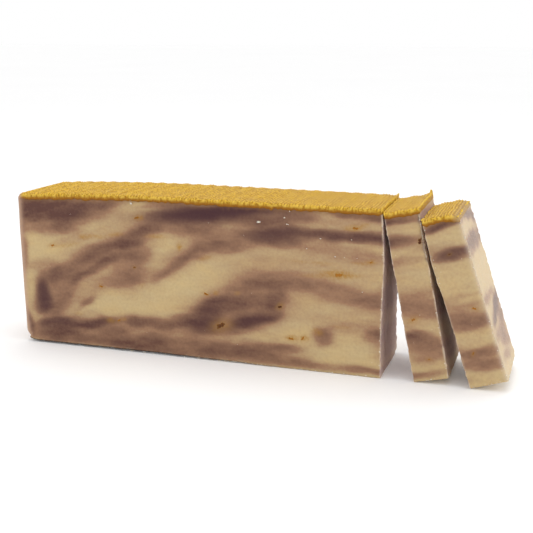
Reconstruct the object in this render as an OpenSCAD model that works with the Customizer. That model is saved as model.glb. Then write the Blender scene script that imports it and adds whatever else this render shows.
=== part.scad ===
// Swirled bar-soap loaf: the uncut loaf, and two slices cut from it that lean on its cut end.
// Millimetres. The origin is the middle of the loaf's base. +X points to the cut end, +Y to the
// rear and +Z up.

/* [Loaf] */
// Length of the loaf that is still uncut, along its foot
loaf_l = 222; // [140:1:300]
// Depth of the loaf from front to back
loaf_d = 48; // [36:1:80]
// Height of the loaf at its cut end
loaf_h = 95; // [70:1:120]
// How much lower the top is at the moulded end
top_fall = 3.2; // [0:0.1:6]
// Length over which the top falls to the moulded end
top_fall_l = 100; // [40:5:130]
// How far the moulded end leans in from its top to its foot
end_draft = 1.2; // [0:0.1:4]
// How much shorter the loaf is at its rear, as its moulded end isn't quite square
end_skew = 3; // [0:0.5:6]
// How far the cut end leans back from its foot to its top
cut_lean_back = 1.4; // [0:0.1:3]

/* [Top layer] */
// Thickness of the coloured layer poured on top
top_t = 3; // [2:0.25:8]
// Distance between the combed ridges that run across the top
comb_pitch = 8.3; // [5:0.1:14]
// Depth of the hollows between the ridges
comb_depth = 0.6; // [0.2:0.1:1.2]

/* [Corners] */
// Radius along the rear foot, left by the mould
rear_foot_r = 4; // [1:0.5:8]
// Bevel trimmed along the front foot
front_foot_bevel = 1.2; // [0.5:0.1:3]
// Radius of the moulded end's foot
end_foot_r = 8.5; // [2:0.5:12]
// Radius of the moulded end's upright edges
end_side_r = 4.5; // [1:0.5:8]

/* [Slices] */
// Thickness of the slice that leans on the loaf
slice_1_t = 19; // [12:0.5:30]
// Thickness of the outer slice at its top
slice_2_t = 19.3; // [12:0.1:30]
// How much thicker the outer slice is at its foot
slice_2_wedge = 1.3; // [0:0.1:4]
// How much the top of the outer slice falls to its outer edge
slice_2_fall = 2; // [0:0.1:2.5]
// Lean of the first slice from upright, in degrees
slice_1_lean = 11.8; // [5:0.1:20]
// Lean of the outer slice from upright, in degrees
slice_2_lean = 18.2; // [8:0.1:28]
// How far the outer slice stands forward of the loaf's front
slice_2_forward = 1.2; // [0:0.1:5]
// Clearance left where a slice leans on its neighbour
lean_gap = 0.3; // [0.2:0.05:1]

/* [Flecks] */
// Depth of the petal flecks set into the faces
fleck_depth = 1.2; // [0.6:0.1:2]
// Width of a petal fleck as a share of its length
fleck_width_share = 0.45; // [0.3:0.05:0.7]

/* [Hidden] */

over = 1;                 // how far a cutting shape runs past the face that it cuts
comb_steps = 6;           // straight steps in one pitch of the comb
fall_steps = 12;          // straight steps along the falling top
curve_fn = 64;            // roundness of the corners

soap_color = [0.76, 0.68, 0.52];
top_color = [0.83, 0.66, 0.24];
fleck_color = [0.60, 0.30, 0.12];

body_h = loaf_h - top_t;  // height at which the top layer starts at a cut face
cut_foot_x = loaf_l / 2;
cut_top_x = cut_foot_x - cut_lean_back;

// A slice's outer face stays this far along X from its inner one, at any height
slice_1_reach = slice_1_t / cos(slice_1_lean);
// Slice 1 leans on the cut end's top edge, and slice 2 leans with its own top edge on slice 1
slice_1_foot_x = cut_top_x + loaf_h * tan(slice_1_lean) + lean_gap / cos(slice_1_lean);
slice_2_foot_x = slice_1_foot_x + slice_1_reach + lean_gap / cos(slice_1_lean)
    + loaf_h * cos(slice_2_lean) * max(0, tan(slice_2_lean) - tan(slice_1_lean));

// Each petal fleck: share of the way from the cut end, share of the way up, length, tilt
loaf_front_flecks = [
    [0.90, 0.65, 4, 20], [0.81, 0.72, 3, -30], [0.65, 0.86, 3.5, 10], [0.53, 0.70, 3, 60],
    [0.76, 0.41, 3.5, -15], [0.64, 0.44, 3, 40], [0.66, 0.55, 2.5, 0], [0.42, 0.23, 6.5, 25],
    [0.46, 0.42, 4, -20], [0.71, 0.20, 3, 35], [0.07, 0.88, 4, -10], [0.11, 0.60, 9, 5],
    [0.03, 0.69, 3, 30], [0.23, 0.19, 4, 0], [0.20, 0.20, 4, 50], [0.16, 0.25, 4.5, -25],
    [0.26, 0.38, 3, 15]];
loaf_rear_flecks = [
    [0.88, 0.34, 4, 15], [0.74, 0.70, 3.5, -40], [0.60, 0.52, 5, 5], [0.47, 0.80, 3, 70],
    [0.39, 0.30, 4, -20], [0.27, 0.62, 6, 30], [0.14, 0.42, 3.5, -10], [0.06, 0.76, 3, 45]];
slice_1_front_flecks = [[0.86, 0.81, 4, 80], [0.30, 0.37, 6, 20], [0.55, 0.13, 3, -10]];
slice_1_rear_flecks = [[0.40, 0.60, 4, 35], [0.65, 0.28, 3, -15]];
slice_2_front_flecks = [[0.48, 0.78, 3, 10], [0.72, 0.45, 3.5, -30], [0.35, 0.20, 3, 50]];
slice_2_rear_flecks = [[0.60, 0.66, 3.5, -25], [0.38, 0.35, 4, 10]];

// ---------- heights and places ----------

// Depth of the comb's hollow at a distance from a cut face: a crest at the face, then a wave
function comb(from_cut) = comb_depth * (1 - cos(360 * from_cut / comb_pitch)) / 2;

// Fall of the loaf's top at a distance from its cut end: level, then ever steeper
function loaf_fall(from_cut) =
    top_fall * pow(max(0, from_cut - (loaf_l - top_fall_l)) / top_fall_l, 2);

// Place along X of the cut end and of the moulded end at a height
function cut_x(z) = cut_foot_x - cut_lean_back * z / loaf_h;
function end_x(z) = -loaf_l / 2 + end_draft * (1 - z / loaf_h);

// Evenly spaced distances from 0 to a length
function spaced(length, steps) = [for (i = [0:steps]) length * i / steps];

// Line of the loaf's crests, or of its layer's underside when it is sunk by top_t
function loaf_line(sunk) = [for (u = spaced(loaf_l, fall_steps))
    let (z = loaf_h - sunk - loaf_fall(u), share = u / loaf_l)
    [cut_x(z) * (1 - share) + end_x(z) * share, z]];

// The same line with the comb's waves in it
function loaf_combed_line() = [for (u = spaced(loaf_l, comb_steps * round(loaf_l / comb_pitch)))
    let (z = loaf_h - loaf_fall(u) - comb(u), share = u / loaf_l)
    [cut_x(z) * (1 - share) + end_x(z) * share, z]];

function reversed(list) = [for (i = [len(list) - 1:-1:0]) list[i]];

// ---------- outlines ----------

// Waste outside a rounded corner that lies at the origin and opens to +X and +Y
module corner_waste(r) {
    difference() {
        translate([-over, -over]) square(r + over);
        translate([r, r]) circle(r, $fn = curve_fn);
    }
}

// The mould's cross-section, front to back and up
module section() {
    difference() {
        translate([-loaf_d / 2, 0]) square([loaf_d, loaf_h]);
        translate([loaf_d / 2, 0]) mirror([1, 0]) corner_waste(rear_foot_r);
        translate([-loaf_d / 2, 0])
            polygon([[-over, -over], [front_foot_bevel + over, -over], [-over, front_foot_bevel + over]]);
    }
}

// The loaf from above: its moulded end runs askew between two rounded edges
module loaf_plan() {
    round_x = -loaf_l / 2 + end_side_r;
    round_y = loaf_d / 2 - end_side_r;
    hull() {
        translate([0, -loaf_d / 2]) square([loaf_l / 2, loaf_d]);
        translate([round_x, -round_y]) circle(end_side_r, $fn = curve_fn);
        translate([round_x + end_skew, round_y]) circle(end_side_r, $fn = curve_fn);
    }
}

// The loaf's soap from the side, below the top layer
module loaf_body_side() {
    difference() {
        polygon(concat([[cut_x(0), 0]], loaf_line(top_t), [[end_x(0), 0]]));
        translate([end_x(0), 0]) corner_waste(end_foot_r);
    }
}

// The loaf's top layer from the side
module loaf_top_side() {
    polygon(concat(loaf_combed_line(), reversed(loaf_line(top_t))));
}

// A slice's soap from the side, standing upright with its inner face at X = 0
module slice_body_side(thickness, wedge, fall) {
    outer_top_x = slice_outer_x(body_h - fall, thickness, wedge);
    polygon([[0, 0], [thickness + wedge, 0], [outer_top_x, body_h - fall], [0, body_h]]);
}

// A slice's top layer from the side
module slice_top_side(thickness, wedge, fall) {
    steps = comb_steps * ceil(thickness / comb_pitch);
    crests = [for (u = spaced(thickness, steps)) [u, loaf_h - fall * u / thickness - comb(u)]];
    polygon(concat(crests, [[slice_outer_x(body_h - fall, thickness, wedge), body_h - fall],
                            [0, body_h]]));
}

// Place of a slice's outer face at a height: wedge thicker at the foot than at the top
function slice_outer_x(z, thickness, wedge) = thickness + wedge * (1 - z / loaf_h);

// ---------- solids from outlines ----------

// A side outline carried from the front to the back of the section
module across_depth() {
    translate([0, loaf_d / 2, 0]) rotate([90, 0, 0]) linear_extrude(loaf_d) children();
}

// The cross-section carried along X
module section_bar(from_x, length) {
    translate([from_x, 0, 0]) rotate([90, 0, 90]) linear_extrude(length) section();
}

// What a side outline keeps of the loaf's moulded shape
module loaf_moulded() {
    intersection() {
        across_depth() children();
        section_bar(-loaf_l / 2 - over, loaf_l + 2 * over);
        linear_extrude(loaf_h) loaf_plan();
    }
}

// What a side outline keeps of a slice's moulded shape
module slice_moulded(thickness) {
    intersection() {
        across_depth() children();
        section_bar(-over, thickness + 2 * over);
    }
}

// One petal fleck on a face: a pointed oval, sunk into the soap from the plane Y = 0
module fleck(length, tilt, proud) {
    width = fleck_width_share * length;
    // two equal circles cross in an oval of this length and width
    r = (pow(length, 2) + pow(width, 2)) / (4 * width);
    translate([0, fleck_depth, 0]) rotate([90, 0, 0])
        linear_extrude(fleck_depth + proud)
            rotate(tilt) intersection() {
                translate([0, r - width / 2]) circle(r, $fn = curve_fn);
                translate([0, width / 2 - r]) circle(r, $fn = curve_fn);
            }
}

// A list of flecks on the front or the rear face of a block that spans from start_x over span_x
module fleck_group(list, start_x, span_x, rear, proud) {
    for (f = list)
        translate([start_x + f[0] * span_x, (rear ? 1 : -1) * loaf_d / 2, f[1] * loaf_h])
            mirror([0, rear ? 1 : 0, 0]) fleck(f[2], f[3], proud);
}

module all_loaf_flecks(proud = 0) {
    fleck_group(loaf_front_flecks, cut_foot_x, -loaf_l, false, proud);
    fleck_group(loaf_rear_flecks, cut_foot_x, -loaf_l, true, proud);
}

module all_slice_1_flecks(proud = 0) {
    fleck_group(slice_1_front_flecks, 0, slice_1_t, false, proud);
    fleck_group(slice_1_rear_flecks, 0, slice_1_t, true, proud);
}

module all_slice_2_flecks(proud = 0) {
    fleck_group(slice_2_front_flecks, 0, slice_2_t, false, proud);
    fleck_group(slice_2_rear_flecks, 0, slice_2_t, true, proud);
}

// Stand a slice on its inner foot edge and lean it back towards the loaf
module place_slice_1() {
    translate([slice_1_foot_x, 0, 0]) rotate([0, -slice_1_lean, 0]) children();
}

module place_slice_2() {
    translate([slice_2_foot_x, -slice_2_forward, 0]) rotate([0, -slice_2_lean, 0]) children();
}

// ---------- sub-parts ----------

module loaf_body() {
    color(soap_color) difference() {
        loaf_moulded() loaf_body_side();
        all_loaf_flecks(proud = over);
    }
}

module loaf_top_layer() {
    color(top_color) loaf_moulded() loaf_top_side();
}

module loaf_flecks() {
    color(fleck_color) all_loaf_flecks();
}

module slice_1_body() {
    color(soap_color) place_slice_1() difference() {
        slice_moulded(slice_1_t) slice_body_side(slice_1_t, 0, 0);
        all_slice_1_flecks(proud = over);
    }
}

module slice_1_top_layer() {
    color(top_color) place_slice_1() slice_moulded(slice_1_t) slice_top_side(slice_1_t, 0, 0);
}

module slice_1_flecks() {
    color(fleck_color) place_slice_1() all_slice_1_flecks();
}

module slice_2_body() {
    color(soap_color) place_slice_2() difference() {
        slice_moulded(slice_2_t + slice_2_wedge)
            slice_body_side(slice_2_t, slice_2_wedge, slice_2_fall);
        all_slice_2_flecks(proud = over);
    }
}

module slice_2_top_layer() {
    color(top_color) place_slice_2() slice_moulded(slice_2_t + slice_2_wedge)
        slice_top_side(slice_2_t, slice_2_wedge, slice_2_fall);
}

module slice_2_flecks() {
    color(fleck_color) place_slice_2() all_slice_2_flecks();
}

loaf_body();
loaf_top_layer();
loaf_flecks();
slice_1_body();
slice_1_top_layer();
slice_1_flecks();
slice_2_body();
slice_2_top_layer();
slice_2_flecks();
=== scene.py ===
"""Looks of the swirled soap loaf and of the two slices that lean on it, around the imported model.

Shapes are worked out in millimetres, in each block's own directions: `u` from its inner face to
its outer one, `y` from front to rear and `w` up the block. `Block.placed` leans the block and
sets it down, and `add_piece` turns millimetres into metres.
"""
import math
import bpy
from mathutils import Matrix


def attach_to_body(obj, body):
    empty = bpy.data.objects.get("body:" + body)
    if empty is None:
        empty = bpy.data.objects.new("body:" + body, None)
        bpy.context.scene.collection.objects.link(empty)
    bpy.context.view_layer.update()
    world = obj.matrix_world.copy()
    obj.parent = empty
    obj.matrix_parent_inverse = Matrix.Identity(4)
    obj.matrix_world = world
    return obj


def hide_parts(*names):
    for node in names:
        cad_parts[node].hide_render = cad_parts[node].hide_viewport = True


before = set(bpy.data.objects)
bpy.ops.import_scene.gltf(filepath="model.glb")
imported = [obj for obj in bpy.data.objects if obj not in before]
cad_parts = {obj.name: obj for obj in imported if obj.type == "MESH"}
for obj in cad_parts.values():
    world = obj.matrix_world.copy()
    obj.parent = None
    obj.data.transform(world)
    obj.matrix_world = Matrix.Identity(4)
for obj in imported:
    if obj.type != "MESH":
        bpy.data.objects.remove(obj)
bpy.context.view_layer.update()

from types import SimpleNamespace

import bmesh
import bpy
import numpy as np
from bpy.props import FloatProperty, FloatVectorProperty, PointerProperty
from mathutils import Vector

bl_info = {
    "name": "Swirled soap loaf",
    "version": (1, 0, 0),
    "blender": (4, 5, 0),
    "location": "View3D > Sidebar > Soap",
    "description": "Builds the soap, top layers, petals and crumbs of a partly cut soap loaf",
    "category": "Add Mesh",
}

MM = 0.001


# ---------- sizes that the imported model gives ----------

def node_points(node):
    """All corners of a CAD node's mesh, as rows of millimetres."""
    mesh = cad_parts[node].data
    flat = np.empty(len(mesh.vertices) * 3)
    mesh.vertices.foreach_get("co", flat)
    return flat.reshape(-1, 3) / MM


# How near a model point must be, in millimetres, to count as on the table, on a block's foot, on
# one of its upright faces or on its top
NEAR_TABLE, NEAR_FOOT, NEAR_FACE, NEAR_TOP = 0.01, 0.1, 1.0, 4.0

TOP_FALL_LENGTH = 100.0     # the loaf's top falls to its moulded end over this length
END_DRAFT = 1.2             # the moulded end leans in this much at its foot
END_SKEW = 3.0              # and this much at its rear
END_SWELL = 1.6             # the poured soap swells past the plain end by this much

# Where the wire bowed as it cut: (amount, height of the middle, spread up and down)
OUTER_BELLY = {"loaf": (1.3, 66, 24)}
INNER_BELLY = {"slice_2": (1.3, 68, 18)}
NO_BELLY = (0, 0, 1)


class Block:
    """One block of soap, with its place and its sizes measured on its CAD nodes.

    A point (u, y, w) lies at foot + u (cos lean, 0, sin lean) + w (-sin lean, 0, cos lean).
    """

    def __init__(self, name, past_cut=None):
        self.name = name
        self.soap_node = f"{name}_body"
        self.top_node = f"{name}_top_layer"
        self.petal_node = f"{name}_flecks"
        self.is_slice = past_cut is not None
        points = node_points(self.soap_node)
        self.depth = np.ptp(points[:, 1])
        self.mid_y = (points[:, 1].max() + points[:, 1].min()) / 2
        foot = points[points[:, 2] < NEAR_TABLE]
        inner_top = points[points[:, 0].argmin()]
        if self.is_slice:
            self.foot_x = foot[:, 0].min()
            self.lean = math.atan2(self.foot_x - inner_top[0], inner_top[2])
        else:
            # the loaf stands upright, and the frame's origin is the middle of its base
            self.foot_x = -foot[:, 0].max()
            self.lean = 0.0
        u, _, w = self.local(points).T
        self.inner_h = w[u < u.min() + NEAR_FACE].max()
        upper = w > self.inner_h - NEAR_TOP
        self.outer_foot = u[w < NEAR_FOOT].max()
        self.outer_top = u[upper].max()
        self.outer_h = w[upper & (u > self.outer_top - NEAR_FACE)].max()
        self.height = max(self.inner_h, self.outer_h)
        self.layer = self.local(node_points(self.top_node))[:, 2].max() - self.height
        # how far this block's inner face lay past the cut, before the slices were cut off
        self.past_cut = past_cut if self.is_slice else -self.outer_foot

    def local(self, points):
        """Turn points of the frame into (u, y, w)."""
        c, s = math.cos(self.lean), math.sin(self.lean)
        x, y, z = points.T
        x = x - self.foot_x
        return np.stack([x * c + z * s, y - self.mid_y, z * c - x * s], axis=1)

    def placed(self, points):
        """Turn points (u, y, w) into points of the frame."""
        c, s = math.cos(self.lean), math.sin(self.lean)
        u, y, w = points.T
        return np.stack([self.foot_x + u * c - w * s, self.mid_y + y, u * s + w * c], axis=1)

    def uncut(self, points):
        """Where points (u, y, w) lay in the whole loaf, as (distance past the cut end, depth from
        the front, height)."""
        return points + (self.past_cut, self.depth / 2, 0)

    def crest_height(self, share):
        """Height of the soap under the top layer at a share of the way to the outer face: a slice
        falls with the cube of the share, and the loaf falls to its moulded end with the square of
        the distance."""
        if self.is_slice:
            return self.inner_h + (self.outer_h - self.inner_h) * np.clip(share, 0, 1) ** 3
        fallen = np.maximum(0, (TOP_FALL_LENGTH - share * self.outer_foot) / TOP_FALL_LENGTH)
        return self.outer_h - (self.outer_h - self.inner_h) * fallen ** 2

    def face_u(self, share, y, w):
        """Distance u at a share of the way from the inner face to the outer one, at (y, w): the
        moulded end leans in towards its foot and its rear, a cut face may lean too, and cut faces
        have bellies."""
        up = w / self.height
        inner = -self.belly(w, INNER_BELLY)
        if not self.is_slice:
            inner = inner + END_DRAFT * (1 - up) + END_SKEW * (y / self.depth + 0.5) - END_SWELL
        outer = self.outer_foot + (self.outer_top - self.outer_foot) * up + self.belly(w, OUTER_BELLY)
        return inner + (outer - inner) * share

    def belly(self, w, table):
        """How far a cut face bows out at a height: amount exp(-((w - middle) / spread)^2), which
        dies out at the top edge."""
        amount, middle, spread = table.get(self.name, NO_BELLY)
        bow = amount * np.exp(-((w - middle) / spread) ** 2)
        return bow * (1 - np.clip(w / self.height, 0, 1) ** 10)


LOAF = Block("loaf")
SLICE_1 = Block("slice_1", 0.0)
SLICE_2 = Block("slice_2", SLICE_1.outer_foot)
BLOCKS = (LOAF, SLICE_1, SLICE_2)
OUTER_START = 36.0          # this far past the cut end the outer patches begin to take over
HALO = 0.16                 # how strongly a streak tints the soap around it


# ---------- random fields ----------

NOISE_SIDE = 64             # lattice cells after which the random values repeat


def value_noise(points, cell, seed):
    """Smooth random field from 0 to 1: random values on a cubic lattice of this cell size, blended
    between the eight lattice corners around each point by the curve 3t^2 - 2t^3."""
    table = np.random.default_rng(seed).random((NOISE_SIDE,) * 3)
    scaled = points / cell + NOISE_SIDE * 8     # the lattice starts well below 0
    low = np.floor(scaled).astype(int)
    t = scaled - low
    t = t * t * (3 - 2 * t)
    total = np.zeros(len(points))
    for corner in range(8):
        step = np.array([corner & 1, corner >> 1 & 1, corner >> 2 & 1])
        i, j, k = ((low + step) % NOISE_SIDE).T
        total += table[i, j, k] * np.prod(np.where(step, t, 1 - t), axis=1)
    return total


# ---------- the swirl in the soap ----------

# Each streak of the swirl, as it meets the front face of the uncut loaf, in millimetres:
# (distance past the cut end, height, half length, half width, tilt in degrees, sag of its ends if
#  it has one, strength of mauve, strength of purple). The loaf lies at distances below 0, the
#  slices above.
STREAKS = (
    # the dark patch in the upper corner at the moulded end
    (-197, 85, 35, 7.4, 0, 0.92, 0.12), (-193, 75.5, 9, 6, 12, 0.74, 0.06),
    (-214, 79.5, 9, 4.6, -6, 0.72, 0.08), (-168, 88.5, 15, 3.4, 12, 0.74, 0.06),
    (-207, 83, 15, 6, 0, 0.72, 0.1), (-190, 80, 13, 5, 6, 0.6, 0.06), (-202, 72, 22, 3.8, 0, 0.46, 0),
    (-184, 83, 9, 4, 20, 0.3, 0.16),
    # the rims of mauve and brown along the moulded end
    (-220.5, 56, 3.4, 15, 0, 0.62, 0), (-218.2, 13, 2.6, 8.5, 6, 0.8, 0.16),
    (-220, 76, 3, 6, 0, 0.5, 0),
    # the upright purple eye near the moulded end, and the arch over it
    (-207.3, 30.5, 5, 10.5, 2, 0.78, 0.74), (-208, 23, 6, 4.2, 0, 0.6, 0.1),
    (-203, 40, 8, 6.5, 50, 0.46, 0.06), (-199, 43.6, 6, 3.2, 18, 0.46, 0.14),
    (-192, 44.5, 8, 4.2, 10, 0.36, 0), (-203, 47.5, 15, 4.6, 0, 0.34, 0),
    (-195.5, 30, 15, 6, 68, 0.42, 0), (-187, 37, 10, 2.6, 52, 0.34, 0), (-192, 36, 16, 9, 55, 0.26, 0),
    (-201, 24, 5, 5, 0, 0.34, 0), (-178.5, 29, 7.5, 2.3, 38, 0.52, 0.05),
    # the bands that climb from the foot of the moulded end
    (-166, 61.5, 22, 4.4, 25, 1, 0.72, 0.05), (-147, 69.5, 11, 4.4, 36, 0.62, 0.04),
    (-136.5, 75.3, 10, 3.4, 5, 0.64, 0.04), (-172, 49.8, 17, 3, 32, 0.62, 0.02),
    (-176, 47.4, 5, 2, 26, 0.4, 0.02), (-184, 43, 6, 2.4, 36, 0.44, 0.03),
    (-163, 54.5, 7, 3, 25, 0.4, 0), (-180, 55, 14, 5, 28, 0.34, 0), (-150, 52, 11, 11, 20, 0.36, 0),
    (-153, 43, 15, 4.6, 12, 0.4, 0), (-143, 60, 7, 7, 60, 0.4, 0), (-153, 60, 10, 4, 20, 0.34, 0),
    (-165, 56, 30, 13, 27, 0.18, 0), (-148, 48, 13, 13, 0, 0.16, 0), (-185, 66, 16, 3, 14, 0.2, 0),
    (-176, 36, 20, 5, 34, 0.22, 0),
    # the brown band along the foot, from the moulded end to the middle
    (-200, 14.6, 14, 3.6, 14, 0.84, 0.36), (-182, 14.8, 13, 3.4, 3, 0.8, 0.26),
    (-196, 7, 21, 6.6, 0, 0.86, 0.1), (-166, 17.6, 10, 3.2, 5, 0.78, 0.06),
    (-163, 12, 15, 4.4, -6, 0.66, 0.06), (-146, 18.4, 9, 3.8, 4, 0.82, 0.1),
    (-158, 5, 26, 4.2, 0, 0.78, 0.05), (-132, 18.8, 15, 3.4, 2, 0.74, 0.04),
    (-136, 10.4, 9, 3, 0, 0.5, 0.14), (-124, 6, 36, 6.4, 0, 0.64, 0),
    (-116, 22.5, 10, 4.2, 16, 0.68, 0.04), (-108, 14, 26, 3.2, 0, 0.3, 0),
    (-88, 7.6, 22, 5, 0, 0.72, 0.05), (-72, 9, 13, 4.6, 0, 0.6, 0.05),
    (-55, 12.4, 12, 3, 0, 0.64, 0.03), (-56, 5, 19, 4, 0, 0.54, 0), (-36, 3.6, 15, 2.6, 0, 0.34, 0),
    (-11, 3.6, 14, 2.4, 4, 0.56, 0.02),
    # the long purple streak under the top, and the brown fringe below it
    (-108, 85.4, 33, 5.6, 5, 0.72, 0.94), (-82, 89.2, 30, 3.6, 3, 0.72, 0.88),
    (-108, 76.6, 17, 4.4, 2, 0.62, 0.02), (-130, 80, 9, 3, 8, 0.4, 0.02),
    (-66, 84.2, 17, 3, 2, 0.64, 0.14), (-47, 88.6, 11, 3.6, 0, 0.58, 0.14),
    (-20, 90.8, 11, 2, 0, 0.66, 0.14), (-4, 90.2, 7, 2.2, 0, 0.66, 0.16),
    (-128, 90.2, 16, 1.8, 3, 0.46, 0),
    # the second long dark streak, which runs on into the slices
    (-62, 77.6, 21, 4.6, 3, 0.9, 0.62), (-22, 78.7, 32, 3.4, 0, 0.84, 0.44),
    (-64, 72.8, 18, 3, 0, 0.52, 0.04), (5, 78.2, 13, 3, -1, 0.42, 0.04),
    (31.5, 74, 12, 3.6, -2, 0.82, 0.46),
    # the thin band that climbs through the middle and levels out
    (-119, 56.6, 13, 3.4, 40, 0.52, 0), (-105, 65, 11, 3.6, 22, 0.48, 0),
    (-88, 68.6, 15, 3.8, 3, 0.54, 0.02), (-131, 48, 7, 3.2, 35, 0.3, 0), (-108, 64, 26, 7, 24, 0.26, 0),
    (-92, 73, 20, 5, 8, 0.24, 0), (-22, 69.6, 30, 4.6, -2, 0.36, 0), (8, 68, 15, 2.8, -2, 0.2, 0),
    (-28, 62, 46, 7, 0, 0.12, 0), (-20, 85.6, 34, 3.6, 0, 0.22, 0),
    # the purple cloud in the lower middle
    (-103, 25.6, 13, 8, 36, 0.78, 0.34), (-97, 34.4, 11, 5, 34, 0.64, 0.14),
    (-74, 26.6, 16, 3.4, 10, 0.76, 0.6), (-84, 36.6, 13, 5.2, 8, 0.58, 0.12),
    (-72, 38, 17, 6.4, 20, 0.58, 0.04), (-61, 41, 9, 5.4, 48, 0.6, 0.06),
    (-63, 32, 7, 5.4, 0, 0.54, 0.03), (-94, 19.4, 18, 2.8, 2, 0.6, 0.06), (-76, 46, 15, 5, 14, 0.46, 0),
    (-86, 30, 12, 5, 0, 0.34, 0.02), (-80, 34, 30, 13, 14, 0.2, 0), (-106, 21.5, 7, 4, 20, 0.44, 0.3),
    (-91, 38.4, 4, 3, 20, 0.3, 0.1), (-77, 22.6, 13, 3, 4, 0.42, 0),
    # the pale band across the right of the loaf, and its run into the slices
    (-71, 51.4, 17, 5, -2, 0.42, 0), (-50, 50.8, 19, 5.4, 0, 2, 0.38, 0),
    (-26, 47.2, 24, 6.6, -8, 0.42, 0), (-7, 43, 13, 5.6, -5, 0.4, 0), (-22, 44, 40, 16, -3, 0.1, 0),
    (-20, 28, 30, 9, 0, 0.1, 0), (-60, 61, 40, 7, 0, 0.12, 0), (9, 47.5, 13, 4.4, 0, 0.32, 0),
    (10, 41, 13, 3.2, 0, 0.42, 0.02), (10, 37.2, 12, 2.2, 0, 0.36, 0),
    (30, 36.8, 13, 4.6, -3, 0.66, 0.1), (28, 44, 12, 3.4, 0, 0.28, 0), (28, 50.4, 10, 2.6, 0, 0.14, 0),
    # small clouds low on the right, and the low bands of the slices
    (-33.5, 20.6, 5.8, 4.6, -35, 0.58, 0.12), (-30, 24.6, 4, 2.4, 30, 0.28, 0),
    (-21, 27.6, 10, 2.6, 0, 0.28, 0), (-4, 24.6, 7, 5, 0, 0.44, 0.02), (6, 26, 11, 2.8, -4, 0.6, 0.06),
    (10, 20, 13, 4.4, 0, 0.54, 0), (9, 13, 12, 3.6, 0, 0.38, 0), (9, 3.4, 12, 2.4, 0, 0.34, 0),
    (29, 18.6, 12, 2.6, -2, 0.64, 0.06), (28, 13.4, 12, 3, -2, 0.54, 0.02),
    (33, 9.8, 8, 1.8, 0, 0.34, 0),
    # a haze over the slices
    (7, 46, 12, 60, 0, 0.05, 0), (29, 46, 12, 60, 0, 0.06, 0),
    # just under the top layer of the slices
    (6, 90.4, 13, 2.4, 0, 0.66, 0.06), (29, 89.8, 11, 2.6, 0, 0.88, 0.34),
)

# Patches on the outer slice's outer face, where the streaks come out: (depth from the front,
# height, half depth, half height, tilt in degrees, strength of mauve, strength of purple)
OUTER_PATCHES = (
    (18, 75.6, 28, 4.4, -3, 0.86, 0.36), (20, 71, 20, 2.8, 0, 0.49, 0),
    (30, 88.2, 19, 2.8, -6, 0.81, 0.36), (6, 90, 11, 2.2, 0, 0.52, 0),
    (44, 83.4, 7, 3.4, -10, 0.78, 0.36), (33, 34.6, 20, 4.2, 7, 0.99, 0.76),
    (17, 31.4, 9, 2.4, 12, 0.65, 0.61), (40, 26.6, 12, 5, 0, 0.68, 0.14),
    (28, 20.6, 17, 4.4, -8, 0.57, 0.09), (34, 14, 17, 4, -12, 0.60, 0),
    (22, 8.6, 15, 3, -10, 0.44, 0), (9, 23, 8, 3, 0, 0.42, 0), (6, 44, 10, 2.8, -6, 0.49, 0),
    (26, 43, 13, 2.8, -8, 0.49, 0), (44, 73, 7, 3, 0, 0.52, 0.11),
)


def covers(x, z, oval):
    """How deep points (x, z) lie in a tilted oval: cover exp(-q^1.6) and fainter halo exp(-q / 3),
    with q = u^2 / length^2 + v^2 / width^2, where u runs along the oval and v across it, less a
    sag that grows as u^2."""
    centre_x, centre_z, length, width, tilt, *sag = oval
    c, s = math.cos(math.radians(tilt)), math.sin(math.radians(tilt))
    u = (x - centre_x) * c + (z - centre_z) * s
    v = (z - centre_z) * c - (x - centre_x) * s + sum(sag) * (u / length) ** 2
    q = (u / length) ** 2 + (v / width) ** 2
    return np.exp(-q ** 1.6), np.exp(-q / 3)


def clear_of(x, z, table):
    """How clear of mauve and of purple a table of ovals leaves points (x, z): the product of
    1 - strength * cover, with a faint halo round each mauve."""
    clear_mauve, clear_purple = np.ones(len(x)), np.ones(len(x))
    for *oval, mauve, purple in table:
        cover, halo = covers(x, z, oval)
        clear_mauve *= (1 - mauve * cover) * (1 - HALO * mauve * halo)
        clear_purple *= 1 - purple * cover
    return clear_mauve, clear_purple


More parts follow.
